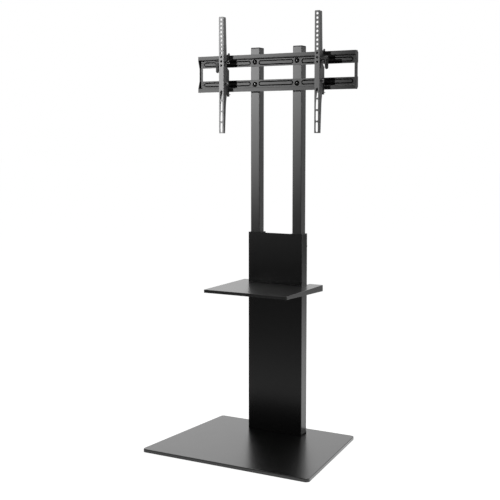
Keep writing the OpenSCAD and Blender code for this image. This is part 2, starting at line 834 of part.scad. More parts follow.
module pivot_bolt(out) {
    head_l = bolt_d * low_head_share;
    reach = arm_w / 2 + out + lever_hub_rest - over;
    bar_x([arm_x - arm_w / 2 - head_l, pivot_y, pivot_z], bolt_d, arm_w / 2 + head_l + reach);
    translate([arm_x - arm_w / 2 - head_l, pivot_y, pivot_z]) rotate([0, 90, 0])
        cylinder(h = head_l, d1 = bolt_af - 2 * head_l, d2 = bolt_af);
}

module pivot_bolt_left() { color("#3a3a3c") mirror([1, 0, 0]) pivot_bolt(lever_out_left); }

module pivot_bolt_right() { color("#3a3a3c") pivot_bolt(lever_out_right); }

// A clamp lever whose stem hangs at a distance from the arm
module tilt_lever(out) {
    root = arm_x + arm_w / 2 + slide_gap;
    hub_l = out + lever_hub_rest;
    difference() {
        union() {
            bar_x([root, pivot_y, pivot_z], lever_hub_d, hub_l);
            translate([root + out, pivot_y, pivot_z]) rotate([0, 180 - lever_lean, 0]) {
                cylinder(h = lever_len, d1 = lever_root_d, d2 = lever_tip_d);
                translate([0, 0, lever_len]) sphere(d = lever_tip_d);
            }
        }
        bar_x([root - over, pivot_y, pivot_z], bolt_d + 2 * run_gap, hub_l);
    }
}

module tilt_lever_left() { color("#1c1c1c") mirror([1, 0, 0]) tilt_lever(lever_out_left); }

module tilt_lever_right() { color("#1c1c1c") tilt_lever(lever_out_right); }

// Underside of the shelf's flanges, sloping from front to back, as a solid to cut away
module under_shelf() {
    translate([-shelf_w, 0, 0]) along_x(2 * shelf_w) polygon([
        [shelf_front - over, shelf_z - shelf_front_h], [shelf_back + over, shelf_z - shelf_rear_h],
        [shelf_back + over, shelf_z - 2 * shelf_rear_h], [shelf_front - over, shelf_z - 2 * shelf_rear_h]
    ]);
}

// The shelf's rectangle, drawn in by a margin
module shelf_block(margin, h, bend) {
    inset = shelf_corner_r;
    hull()
        for (x = [inset - shelf_w / 2, shelf_w / 2 - inset], y = [shelf_front + inset, shelf_back - inset])
            translate([x, y, shelf_z - margin - h]) button(shelf_corner_r - margin, h, bend);
}

// The space that the column passes through, with a margin
module shelf_notch(margin) {
    translate([-notch_half_w - margin, notch_front - margin, shelf_z - 2 * shelf_rear_h])
        cube([2 * (notch_half_w + margin), shelf_d, 3 * shelf_rear_h]);
}

module shelf_tray() {
    color("#4a4a4c")
    difference() {
        shelf_block(0, shelf_rear_h, shelf_bend_r);
        difference() {
            shelf_block(shelf_t, shelf_rear_h, shelf_t / 4);
            shelf_notch(shelf_t);
        }
        shelf_notch(0);
        under_shelf();
    }
}

module shelf_strap() {
    lip = strap_t + shelf_tail / 3;
    color("#2e2e30")
    difference() {
        translate([-notch_half_w, strap_front, strap_z - strap_h / 2]) difference() {
            cube([2 * notch_half_w, lip, strap_h]);
            translate([-over, strap_t, shelf_t])
                cube([2 * (notch_half_w + over), lip, strap_h - 2 * shelf_t]);
        }
        for (sx = [-1, 1])
            bar_y([sx * tube_x, strap_front - over, strap_z], bolt_d + 2 * bolt_gap, strap_t + 2 * over);
    }
}

module shelf_nuts() { color("#6a6a6c") clamp_nuts(strap_front + strap_t, strap_z); }

module shelf_knob(side) {
    tip_y = column_back + slide_gap;
    seat_y = strap_front + strap_t + bolt_d * nut_share + 2 * over;
    translate([side * tube_x, tip_y, strap_z]) clamp_knob(seat_y - tip_y);
}

module shelf_knob_left() { color("#1c1c1c") shelf_knob(-1); }

module shelf_knob_right() { color("#1c1c1c") shelf_knob(1); }

base_tray();
base_ribs();
base_feet();
foot_plate();
base_bolts();
outer_tube_left();
outer_tube_right();
front_panel();
rear_braces();
collar_left();
collar_right();
height_nuts();
height_knob_left();
height_knob_right();
upright_left();
upright_right();
upright_cap_left();
upright_cap_right();
glide_left();
glide_right();
upper_rail();
lower_rail();
end_plate_left();
end_plate_right();
rail_bolts();
rail_nuts();
hook_bracket_left();
hook_bracket_right();
guide_bolt_left();
guide_bolt_right();
lock_screw_left();
lock_screw_right();
arm_left();
arm_right();
pivot_bolt_left();
pivot_bolt_right();
tilt_lever_left();
tilt_lever_right();
shelf_tray();
shelf_strap();
shelf_nuts();
shelf_knob_left();
shelf_knob_right();
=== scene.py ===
"""Looks of a floor stand for a flat screen: finishes, small made pieces, light and camera."""

import json
import logging
import math
from dataclasses import dataclass, field
from enum import Enum

import bmesh
import bpy
import numpy as np
from mathutils import Euler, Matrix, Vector

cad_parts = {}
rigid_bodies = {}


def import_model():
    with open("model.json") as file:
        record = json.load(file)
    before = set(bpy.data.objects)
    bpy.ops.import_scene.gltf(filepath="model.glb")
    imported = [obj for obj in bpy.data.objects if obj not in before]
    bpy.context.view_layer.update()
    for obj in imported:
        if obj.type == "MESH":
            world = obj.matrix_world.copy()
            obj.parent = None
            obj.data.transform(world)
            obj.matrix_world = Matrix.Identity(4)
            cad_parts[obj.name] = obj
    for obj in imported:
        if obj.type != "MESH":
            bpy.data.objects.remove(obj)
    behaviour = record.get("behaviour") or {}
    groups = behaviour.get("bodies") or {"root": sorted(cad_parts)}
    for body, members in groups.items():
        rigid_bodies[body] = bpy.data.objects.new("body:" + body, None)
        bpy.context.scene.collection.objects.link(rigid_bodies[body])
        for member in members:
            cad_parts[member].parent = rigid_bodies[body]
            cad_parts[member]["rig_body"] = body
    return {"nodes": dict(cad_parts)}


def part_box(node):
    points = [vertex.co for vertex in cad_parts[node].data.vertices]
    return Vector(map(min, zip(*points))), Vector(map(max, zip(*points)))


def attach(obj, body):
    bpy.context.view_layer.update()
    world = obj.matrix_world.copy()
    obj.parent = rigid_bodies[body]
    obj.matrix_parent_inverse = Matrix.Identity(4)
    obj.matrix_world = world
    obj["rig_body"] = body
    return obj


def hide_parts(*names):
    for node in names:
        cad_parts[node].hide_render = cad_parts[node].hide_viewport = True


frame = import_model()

LOG = logging.getLogger("stand")
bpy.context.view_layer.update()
MM = 0.001


def srgb(code: str) -> tuple[float, float, float, float]:
    """Turns an sRGB hex colour into the linear colour that a shader takes.

    Args:
        code: six hex digits.

    Returns:
        Red, green, blue and an alpha of 1.
    """
    parts = [int(code[i : i + 2], 16) / 255 for i in (0, 2, 4)]
    linear = [c / 12.92 if c <= 0.04045 else ((c + 0.055) / 1.055) ** 2.4 for c in parts]
    return linear[0], linear[1], linear[2], 1.0


def add_node(tree: bpy.types.NodeTree, kind: str, settings: dict | None = None, links: dict | None = None,
             **facts: object) -> bpy.types.Node:
    """Adds one shader node.

    Args:
        tree: the node tree that takes it.
        kind: the node's type name, without "ShaderNode".
        settings: socket name or number to value.
        links: socket name or number to the output socket that feeds it.
        facts: attributes of the node itself.

    Returns:
        The new node.
    """
    node = tree.nodes.new("ShaderNode" + kind)
    for name, value in facts.items():
        setattr(node, name, value)
    for name, value in (settings or {}).items():
        node.inputs[name].default_value = value
    for name, source in (links or {}).items():
        tree.links.new(source, node.inputs[name])
    return node


@dataclass(frozen=True)
class Coating:
    """A finish on one kind of piece.

    Attributes:
        name: what the finish is and how it was made.
        colour: sRGB hex of the body colour.
        roughness: spread of the reflection.
        metallic: 1 for bare metal.
        clear: weight of a second, smoother skin over the first.
        clear_roughness: its spread.
        specular: strength of the first skin's reflection.
        grain_mm: size of the surface's bumps.
        grain_depth_mm: their height.
        mottle: how much the roughness changes from place to place.
        shade: how much the colour changes from place to place, as a share of itself.
        cloud_mm: size of those places.
    """

    name: str
    colour: str
    roughness: float
    metallic: float = 0.0
    clear: float = 0.0
    clear_roughness: float = 0.05
    specular: float = 0.5
    grain_mm: float = 0.6
    grain_depth_mm: float = 0.01
    mottle: float = 0.015
    shade: float = 0.12
    cloud_mm: float = 90.0

    def build(self) -> bpy.types.Material:
        """Makes the material: fine bumps, and slow changes of colour and roughness, in Object coordinates."""
        material = bpy.data.materials.new(self.name)
        material.use_nodes = True
        tree = material.node_tree
        tree.nodes.clear()
        place = add_node(tree, "TexCoord").outputs["Object"]
        grain = add_node(tree, "TexNoise", {"Scale": 1 / (self.grain_mm * MM), "Detail": 2.0, "Roughness": 0.5},
                         {"Vector": place})
        bump = add_node(tree, "Bump", {"Strength": 0.5, "Distance": self.grain_depth_mm * MM},
                        {"Height": grain.outputs["Fac"]})
        cloud = add_node(tree, "TexNoise", {"Scale": 1 / (self.cloud_mm * MM), "Detail": 3.0},
                         {"Vector": place})
        spread = add_node(tree, "MapRange", {"To Min": self.roughness - self.mottle,
                                             "To Max": self.roughness + self.mottle},
                          {"Value": cloud.outputs["Fac"]})
        red, green, blue, alpha = srgb(self.colour)
        ends = [(red * share, green * share, blue * share, alpha) for share in (1 - self.shade, 1 + self.shade)]
        tint = add_node(tree, "Mix", {6: ends[0], 7: ends[1]}, {0: cloud.outputs["Fac"]}, data_type="RGBA")
        shader = add_node(tree, "BsdfPrincipled", {
            "Metallic": self.metallic, "IOR": 1.5, "Specular IOR Level": self.specular,
            "Coat Weight": self.clear, "Coat Roughness": self.clear_roughness},
            {"Base Color": tint.outputs[2], "Roughness": spread.outputs["Result"],
             "Normal": bump.outputs["Normal"]})
        add_node(tree, "OutputMaterial", links={"Surface": shader.outputs["BSDF"]})
        return material


class Finish(Enum):
    """The finishes of the stand, named for what they are."""

    # Smooth gloss powder coat: nearly black in itself, it shows the pale room at a low angle
    BASE = Coating("gloss_black_powder_coat", "1c1c1c", 0.32, clear=0.85, clear_roughness=0.25,
                   grain_mm=1.4, grain_depth_mm=0.004)
    # The base's coat on the shelf, painted paler than on the base to stand in for the light on the shelf top,
    # with a slightly smoother skin
    SHELF = Coating("gloss_black_shelf_coat", "3a3a3a", 0.32, clear=0.8, clear_roughness=0.22,
                    grain_mm=1.4, grain_depth_mm=0.004)
    # Sprayed black lacquer on the flat front sheet
    PANEL = Coating("black_lacquered_steel", "0b0b0b", 0.26, specular=0.44, grain_mm=1.6, grain_depth_mm=0.002)
    # Satin powder coat on the column's tubes
    COLUMN = Coating("satin_black_powder_coat", "1c1c1c", 0.24, clear=0.3, clear_roughness=0.16,
                     grain_mm=0.7, grain_depth_mm=0.008)
    # A darker, rougher coat on the shelf's faces that face to the sides
    RIM = Coating("satin_black_rim_coat", "2a2a2a", 0.38, clear=0.35, clear_roughness=0.3,
                  grain_mm=1.4, grain_depth_mm=0.006)
    # Matt black coat on the plate under the column
    FOOT = Coating("matt_black_foot_plate", "0c0c0c", 0.55, specular=0.12, grain_mm=0.7, grain_depth_mm=0.01)
    # Satin powder coat on the uprights: paler, with a soft bloom
    UPRIGHT = Coating("satin_charcoal_powder_coat", "535353", 0.49, grain_mm=0.7, grain_depth_mm=0.01,
                      mottle=0.03)
    # Fine-textured powder coat on the pressed rails and end plates
    RAIL = Coating("fine_texture_powder_coat", "5b5b5b", 0.5, specular=0.2, grain_mm=0.5, grain_depth_mm=0.014,
                   mottle=0.03)
    # Near-black finish: painted shade in the grooves round the rails' ovals, where the coat is made dark to
    # stand in for the shade that falls in them; also the black phosphate of the thin washers under the rail
    # bolts
    GROOVE_SHADE_AND_WASHER = Coating("painted_groove_shade_and_black_washer", "040404", 0.8, specular=0.0, grain_mm=0.4, grain_depth_mm=0.01)
    # The rails' coat on the end plates, painted darker than on the rails
    END = Coating("dark_end_plate_coat", "303030", 0.45, grain_mm=0.5, grain_depth_mm=0.014)
    # The rails' coat on the arms, painted paler than on the rails: a painted sheen for the brighter light the
    # arms catch
    ARM = Coating("fine_texture_arm_coat", "929292", 0.5, specular=0.15, grain_mm=0.5, grain_depth_mm=0.012,
                  mottle=0.03)
    # The hook brackets' coat, darker inside the arms
    BRACKET = Coating("satin_bracket_coat", "5a5a5a", 0.45, specular=0.2, grain_mm=0.6, grain_depth_mm=0.012)
    # Injection-moulded black nylon with a spark-eroded grain
    PLASTIC = Coating("moulded_black_nylon", "1f1f1f", 0.5, grain_mm=0.35, grain_depth_mm=0.02)
    # Black moulded plug with a slightly shiny skin
    CAP = Coating("moulded_black_cap", "262626", 0.34, grain_mm=0.4, grain_depth_mm=0.01)
    # The uprights' plugs: the same nylon with a coarse matt grain on top
    PLUG = Coating("matt_black_nylon_plug", "242424", 0.62, specular=0.2, grain_mm=0.5, grain_depth_mm=0.03)
    # Vulcanised rubber
    RUBBER = Coating("black_rubber", "161616", 0.7, grain_mm=0.4, grain_depth_mm=0.03)
    # Zinc-plated steel with a dull passivated skin
    ZINC = Coating("zinc_plated_steel", "a9aaac", 0.32, metallic=1.0, grain_mm=0.3, grain_depth_mm=0.004)
    # Zinc on the guide bolts, painted pale and matt: a painted glint, so the bolts show bright though they sit
    # in the arms' shadow
    PALE_ZINC = Coating("pale_zinc_painted_glint", "c9c9c9", 0.5, metallic=0.4, grain_mm=0.3,
                        grain_depth_mm=0.004)
    # Black button heads of the rail bolts: dark, with one small highlight
    BUTTON = Coating("black_oxide_button_head", "0a0a0a", 0.24, grain_mm=0.3, grain_depth_mm=0.002)
    # Blackened steel of the mount's screws
    BLACK_STEEL = Coating("blackened_steel", "5c5c5c", 0.34, metallic=0.6, grain_mm=0.3, grain_depth_mm=0.006)


@dataclass
class Paintbox:
    """Builds each finish once and puts it on pieces."""

    made: dict[Finish, bpy.types.Material] = field(default_factory=dict)

    def material(self, finish: Finish) -> bpy.types.Material:
        """The finish's material, built the first time it is asked for."""
        if finish not in self.made:
            self.made[finish] = finish.value.build()
        return self.made[finish]

    def dress(self, piece: bpy.types.Object, finish: Finish) -> None:
        """Gives a piece one finish and no other."""
        piece.data.materials.clear()
        piece.data.materials.append(self.material(finish))

    def dress_nodes(self, finish: Finish, *names: str) -> None:
        """Gives CAD nodes one finish."""
        for name in names:
            self.dress(frame["nodes"][name], finish)

    def dress_part(self, piece: bpy.types.Object, finish: Finish, chosen: np.ndarray) -> None:
        """Gives some faces of a dressed piece a second finish.

        Args:
            piece: a piece that has its first finish.
            finish: the finish to add.
            chosen: one True or False per face.
        """
        piece.data.materials.append(self.material(finish))
        index = np.zeros(len(chosen), np.int32)
        piece.data.polygons.foreach_get("material_index", index)
        index[chosen] = len(piece.data.materials) - 1
        piece.data.polygons.foreach_set("material_index", index)


def grid_mesh(name: str, rows: np.ndarray) -> bpy.types.Object:
    """Makes a closed mesh from a grid of points, where each row of the grid is one ring of the surface.

    The faces join point (i, j) to (i, j+1), (i+1, j+1) and (i+1, j), the last column joins the first, and the
    first and last rings are closed with one face each.

    Args:
        name: the piece's name.
        rows: array of shape (rings, points, 3), in metres.

    Returns:
        The new object, at the origin.
    """
    rings, points = rows.shape[:2]
    i, j = np.meshgrid(np.arange(rings - 1), np.arange(points), indexing="ij")
    k = (j + 1) % points
    faces = np.stack([i * points + j, i * points + k, (i + 1) * points + k, (i + 1) * points + j], -1)
    faces = [tuple(f) for f in faces.reshape(-1, 4).tolist()]
    faces += [tuple(range(points - 1, -1, -1)), tuple(range((rings - 1) * points, rings * points))]
    mesh = bpy.data.meshes.new(name)
    mesh.from_pydata(rows.reshape(-1, 3).tolist(), [], faces)
    piece = bpy.data.objects.new(name, mesh)
    bpy.context.scene.collection.objects.link(piece)
    shell = bmesh.new()
    shell.from_mesh(mesh)
    bmesh.ops.recalc_face_normals(shell, faces=shell.faces)
    shell.to_mesh(mesh)
    shell.free()
    return piece


def turned(name: str, start: Vector, along: Vector, profile: list[tuple[float, float]],
           steps: int = 40) -> bpy.types.Object:
    """Turns a profile about an axis, like a piece on a lathe.

    A point at height h and radius r goes to start + h·along + r·(cos a·u + sin a·v), where u and v are square
    to the axis.

    Args:
        name: the piece's name.
        start: the axis point at height 0.
        along: the axis direction.
        profile: (height, radius) pairs in millimetres, from one end to the other.
        steps: points round the axis.

    Returns:
        The new object, at the origin.
    """
    axis = along.normalized()
    u = axis.orthogonal().normalized()
    v = axis.cross(u)
    heights, radii = np.array(profile, float).T * MM
    angle = np.linspace(0, 2 * math.pi, steps, endpoint=False)
    spoke = np.cos(angle)[:, None] * np.array(u) + np.sin(angle)[:, None] * np.array(v)
    rows = np.array(start) + heights[:, None, None] * np.array(axis) + radii[:, None, None] * spoke[None]
    return grid_mesh(name, rows)


def weld_bead(name: str, start: Vector, end: Vector, first: Vector, second: Vector, leg_mm: float,
              ripple_mm: float = 2.2) -> bpy.types.Object:
    """Lays a fillet weld in a corner, with the ripples that the torch leaves.

    A section point at angle a stands leg·(0.89 + 0.11·cos 4a) from the corner, and the leg swells along the
    bead as 1 + 0.1·cos(2π·s / ripple), where s is the way along it. Both ends taper over one leg.

    Args:
        name: the piece's name.
        start: the corner's point at one end.
        end: the corner's point at the other end.
        first: direction along one of the welded faces.
        second: direction along the other.
        leg_mm: the weld's leg.
        ripple_mm: distance between ripples.

    Returns:
        The new object, at the origin.
    """
    leg, ripple = leg_mm * MM, ripple_mm * MM
    length = (end - start).length
    way = np.linspace(0, length, int(6 * length / ripple))
    swell = 1 + 0.1 * np.cos(2 * math.pi * way / ripple)
    swell *= np.clip(0.25 + np.minimum(way, length - way) / leg, 0, 1)
    angle = np.linspace(0, math.pi / 2, 7)
    reach = leg * (0.89 + 0.11 * np.cos(4 * angle))
    u = np.concatenate([[0.0], reach * np.cos(angle)])
    v = np.concatenate([[0.0], reach * np.sin(angle)])
    line = np.array(start) + way[:, None] / length * np.array(end - start)
    section = u[:, None] * np.array(first) + v[:, None] * np.array(second)
    rows = line[:, None, :] + swell[:, None, None] * section[None]
    return grid_mesh(name, rows)


def face_centres(piece: bpy.types.Object) -> np.ndarray:
    """Middles of a piece's faces, as an array of shape (faces, 3), in metres."""
    centres = np.empty(len(piece.data.polygons) * 3, np.float32)
    piece.data.polygons.foreach_get("center", centres)
    return centres.reshape(-1, 3)


def face_normals(piece: bpy.types.Object) -> np.ndarray:
    """Unit normals of a piece's faces, as an array of shape (faces, 3)."""
    normals = np.empty(len(piece.data.polygons) * 3, np.float32)
    piece.data.polygons.foreach_get("normal", normals)
    return normals.reshape(-1, 3)


def box_middle(node: str) -> tuple[Vector, Vector, Vector]:
    """Lowest corner, highest corner and middle of a CAD node."""
    low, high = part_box(node)
    return low, high, (low + high) / 2


@dataclass
class SoftEdges:
    """Copies CAD nodes with their doubles merged and their sharp edges rounded, as paint leaves them."""

    angle_deg: float = 28.0
    segments: int = 2

    def round_off(self, node: str, width_mm: float) -> bpy.types.Object:
        """Makes the rounded copy that stands for a node.

        Args:
            node: the CAD node's name.
            width_mm: width of the rounding.

        Returns:
            The copy, riding on the node's body.
        """
        source = frame["nodes"][node]
        mesh = source.data.copy()
        mesh.name = node + "_soft"
        shell = bmesh.new()
        shell.from_mesh(mesh)
        bmesh.ops.remove_doubles(shell, verts=shell.verts, dist=2e-6)
        bmesh.ops.dissolve_limit(shell, angle_limit=math.radians(0.4), verts=shell.verts, edges=shell.edges)
        shell.to_mesh(mesh)
        shell.free()
        piece = bpy.data.objects.new(node + "_soft", mesh)
        bpy.context.scene.collection.objects.link(piece)
        bevel = piece.modifiers.new("edge", "BEVEL")
        bevel.width = width_mm * MM
        bevel.segments = self.segments
        bevel.limit_method = "ANGLE"
        bevel.angle_limit = math.radians(self.angle_deg)
        bevel.use_clamp_overlap = True
        bevel.harden_normals = False
        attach(piece, source["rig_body"])
        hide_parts(node)
        return piece


@dataclass
class Base:
    """The pressed base with its channels, feet and bolts."""

    def dress(self, paints: Paintbox) -> None:
        """Gives the base its finishes."""
        paints.dress_nodes(Finish.BASE, "base_tray")
        paints.dress_nodes(Finish.COLUMN, "base_ribs")
        paints.dress_nodes(Finish.FOOT, "foot_plate")
        paints.dress_nodes(Finish.RUBBER, "base_feet")
        paints.dress_nodes(Finish.ZINC, "base_bolts")


@dataclass
class Column:
    """Outer tubes, front sheet, collars and the clamp screws at the back."""

    panel_edge_mm: float = 0.35
    weld_leg_mm: float = 3.0
    collar_edge_mm: float = 0.4

    def brace_heights(self) -> list[tuple[float, float]]:
        """Lowest and highest point of each brace between the tubes, in metres, from the lowest brace up."""
        mesh = frame["nodes"]["rear_braces"].data
        points = np.empty(len(mesh.vertices) * 3, np.float32)
        mesh.vertices.foreach_get("co", points)
        edges = np.unique(np.round(points[2::3].astype(float), 4)).tolist()
        return list(zip(edges[0::2], edges[1::2]))

    def welds(self, paints: Paintbox) -> None:
        """Welds the tubes' inner sides to the plate they stand on, and the braces' ends to the tubes."""
        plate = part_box("foot_plate")[1].z
        brace_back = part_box("rear_braces")[1].y
        up, back = Vector((0, 0, 1)), Vector((0, 1, 0))
        for side in ("left", "right"):
            low, high, middle = box_middle("outer_tube_" + side)
            inward = Vector((-math.copysign(1.0, middle.x), 0, 0))
            face = high.x if inward.x > 0 else low.x
            inset = 5 * MM
            lines = {"foot_weld_" + side: (Vector((face, low.y + inset, plate)),
                                           Vector((face, high.y - inset, plate)), up)}
            for number, (under, top) in enumerate(self.brace_heights()):
                lines[f"brace_weld_{side}_{number}"] = (Vector((face, brace_back, under + inset)),
                                                        Vector((face, brace_back, top - inset)), back)
            for name, (start, end, second) in lines.items():
                bead = weld_bead(name, start, end, inward, second, self.weld_leg_mm)
                paints.dress(bead, Finish.COLUMN)
                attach(bead, "base")

    def dress(self, paints: Paintbox, edges: SoftEdges) -> None:
        """Gives the column its finishes and rounds the front sheet's edges."""
        self.welds(paints)
        paints.dress(edges.round_off("front_panel", self.panel_edge_mm), Finish.PANEL)
        paints.dress_nodes(Finish.COLUMN, "outer_tube_left", "outer_tube_right", "rear_braces")
        for side in ("left", "right"):
            paints.dress(edges.round_off("collar_" + side, self.collar_edge_mm), Finish.CAP)
        paints.dress_nodes(Finish.ZINC, "height_nuts")
        paints.dress_nodes(Finish.PLASTIC, "height_knob_left", "height_knob_right")
        knob_discs(paints, "height")


def knob_discs(paints: Paintbox, kind: str) -> None:
    """Closes the middles of a pair of clamp knobs with small moulded discs.

    Args:
        paints: the finishes.
        kind: height or shelf.
    """
    nuts = box_middle(kind + "_nuts")[2]
    for side in ("left", "right"):
        tube = box_middle("outer_tube_" + side)[2]
        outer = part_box(f"{kind}_knob_{side}")[1].y
        profile = [(-0.3, 5.2), (0.1, 5.8), (0.3, 5.6), (0.45, 5.0), (0.5, 2.5), (0.42, 0.6)]
        middle = Vector((tube.x, outer, nuts.z))
        disc = turned(f"{kind}_knob_disc_{side}", middle, Vector((0, 1, 0)), profile)
        paints.dress(disc, Finish.CAP)
        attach(disc, f"{kind}_clamp_{side}")


@dataclass
class Mast:
    """Uprights, rails and end plates."""

    web_mm: float = 2.0
    groove_mm: float = 1.2
    oval_reach_mm: float = 316.0
    oval_height_mm: float = 18.4
    oval_from_edge_mm: float = 14.3
    dome_mm: float = 17.0
    washer_mm: float = 19.4
    weld_leg_mm: float = 2.6
    cap_edge_mm: float = 0.6

    def washers(self, paints: Paintbox) -> None:
        """Puts a thin black washer under each round bolt head of the rails."""
        low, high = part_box("rail_bolts")
        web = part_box("upper_rail")[1].y - self.web_mm * MM
        inset = self.dome_mm / 2 * MM
        outer = self.washer_mm / 2
        profile = [(0.0, outer), (0.6, outer), (0.85, outer - 0.3), (0.9, outer - 0.7), (0.9, 4.5)]
        for height, z in (("lower", low.z + inset), ("upper", high.z - inset)):
            for side, x in (("left", low.x + inset), ("right", high.x - inset)):
                washer = turned(f"rail_washer_{height}_{side}", Vector((x, web, z)), Vector((0, -1, 0)),
                                profile, steps=56)
                paints.dress(washer, Finish.GROOVE_SHADE_AND_WASHER)
                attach(washer, "mast")

    def welds(self, paints: Paintbox) -> None:
        """Welds the rails' backs to the end plates."""
        for rail in ("upper_rail", "lower_rail"):
            low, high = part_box(rail)
            for side, x, inward in (("left", low.x, 1.0), ("right", high.x, -1.0)):
                inset = 6 * MM
                start = Vector((x, high.y, low.z + inset))
                end = Vector((x, high.y, high.z - inset))
                bead = weld_bead(f"{rail}_weld_{side}", start, end, Vector((inward, 0, 0)), Vector((0, 1, 0)),
                                 self.weld_leg_mm)
                paints.dress(bead, Finish.RAIL)
                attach(bead, "mast")

    def paint_groove_shade(self, paints: Paintbox, rail: str, oval_z: float) -> None:
        """Paints shade into the grooves round a rail's ovals: a near-black finish on the groove faces stands in
        for the shade that falls in them.

        Args:
            paints: the finishes.
            rail: the rail's node.
            oval_z: height of the ovals' middle line, in metres.
        """
        x, y, z = face_centres(frame["nodes"][rail]).T
        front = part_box(rail)[1].y - self.web_mm * MM
        deep = (y > front + 0.05 * MM) & (y < front + (self.groove_mm + 0.1) * MM)
        near = (np.abs(z - oval_z) < self.oval_height_mm / 2 * MM) & (np.abs(x) < self.oval_reach_mm * MM)
        # painted shade: the groove faces get the near-black finish
        paints.dress_part(frame["nodes"][rail], Finish.GROOVE_SHADE_AND_WASHER, deep & near)

    def dress(self, paints: Paintbox, edges: SoftEdges) -> None:
        """Gives the mast its finishes."""
        self.washers(paints)
        self.welds(paints)
        paints.dress_nodes(Finish.UPRIGHT, "upright_left", "upright_right")
        for side in ("left", "right"):
            paints.dress(edges.round_off("upright_cap_" + side, self.cap_edge_mm), Finish.PLUG)
        paints.dress_nodes(Finish.PLASTIC, "glide_left", "glide_right")
        paints.dress_nodes(Finish.RAIL, "upper_rail", "lower_rail")
        paints.dress_nodes(Finish.END, "end_plate_left", "end_plate_right")
        # painted shade in the grooves round each rail's ovals
        self.paint_groove_shade(paints, "upper_rail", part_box("upper_rail")[0].z + self.oval_from_edge_mm * MM)
        self.paint_groove_shade(paints, "lower_rail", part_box("lower_rail")[1].z - self.oval_from_edge_mm * MM)
        paints.dress_nodes(Finish.BUTTON, "rail_bolts")
        paints.dress_nodes(Finish.ZINC, "rail_nuts")


@dataclass
class TiltArms:
    """Arms, hook brackets, their bolts and the clamp levers."""

    def dress(self, paints: Paintbox) -> None:
        """Gives both sides their finishes."""
        for side in ("left", "right"):
            paints.dress_nodes(Finish.ARM, "arm_" + side)
            paints.dress_nodes(Finish.BRACKET, "hook_bracket_" + side)
            # painted glint: the pale matt finish makes the guide bolts bright in the arms' shadow
            paints.dress_nodes(Finish.PALE_ZINC, "guide_bolt_" + side)
            paints.dress_nodes(Finish.BLACK_STEEL, "lock_screw_" + side)
            paints.dress_nodes(Finish.BUTTON, "pivot_bolt_" + side)
            paints.dress_nodes(Finish.PLASTIC, "tilt_lever_" + side)


@dataclass
class Shelf:
    """The folded shelf, its strap and its clamp screws."""

    rim_facing: float = 0.6

    def dress(self, paints: Paintbox) -> None:
        """Gives the shelf its finishes."""
        # the shelf's paler colour is painted light on its top
        paints.dress_nodes(Finish.SHELF, "shelf_tray")
        tray = frame["nodes"]["shelf_tray"]
        paints.dress_part(tray, Finish.RIM, np.abs(face_normals(tray)[:, 0]) > self.rim_facing)
        paints.dress_nodes(Finish.COLUMN, "shelf_strap")
        paints.dress_nodes(Finish.ZINC, "shelf_nuts")
        paints.dress_nodes(Finish.PLASTIC, "shelf_knob_left", "shelf_knob_right")
        knob_discs(paints, "shelf")


@dataclass(frozen=True)
class Lamp:
    """One lamp of the studio.

    Attributes:
        name: the lamp's name.
        place: where it hangs, in metres.
        target: what it points at.
        watts: its power.
        size: a spot's radius or an area lamp's side, in metres.
        cone_deg: a spot's cone, or 0 for an area lamp.
    """

    name: str
    place: tuple[float, float, float]
    target: tuple[float, float, float]
    watts: float
    size: float
    cone_deg: float = 0.0

    def hang(self) -> None:
        """Hangs the lamp and points it, with a soft edge on a spot's cone."""
        data = bpy.data.lights.new(self.name, "SPOT" if self.cone_deg else "AREA")
        data.energy = self.watts
        if self.cone_deg:
            data.spot_size, data.spot_blend = math.radians(self.cone_deg), 1.0
            data.shadow_soft_size = self.size
        else:
            data.size = self.size
        lamp = bpy.data.objects.new(self.name, data)
        bpy.context.scene.collection.objects.link(lamp)
        lamp.location = self.place
        lamp.rotation_euler = (Vector(self.target) - Vector(self.place)).to_track_quat("-Z", "Y").to_euler()


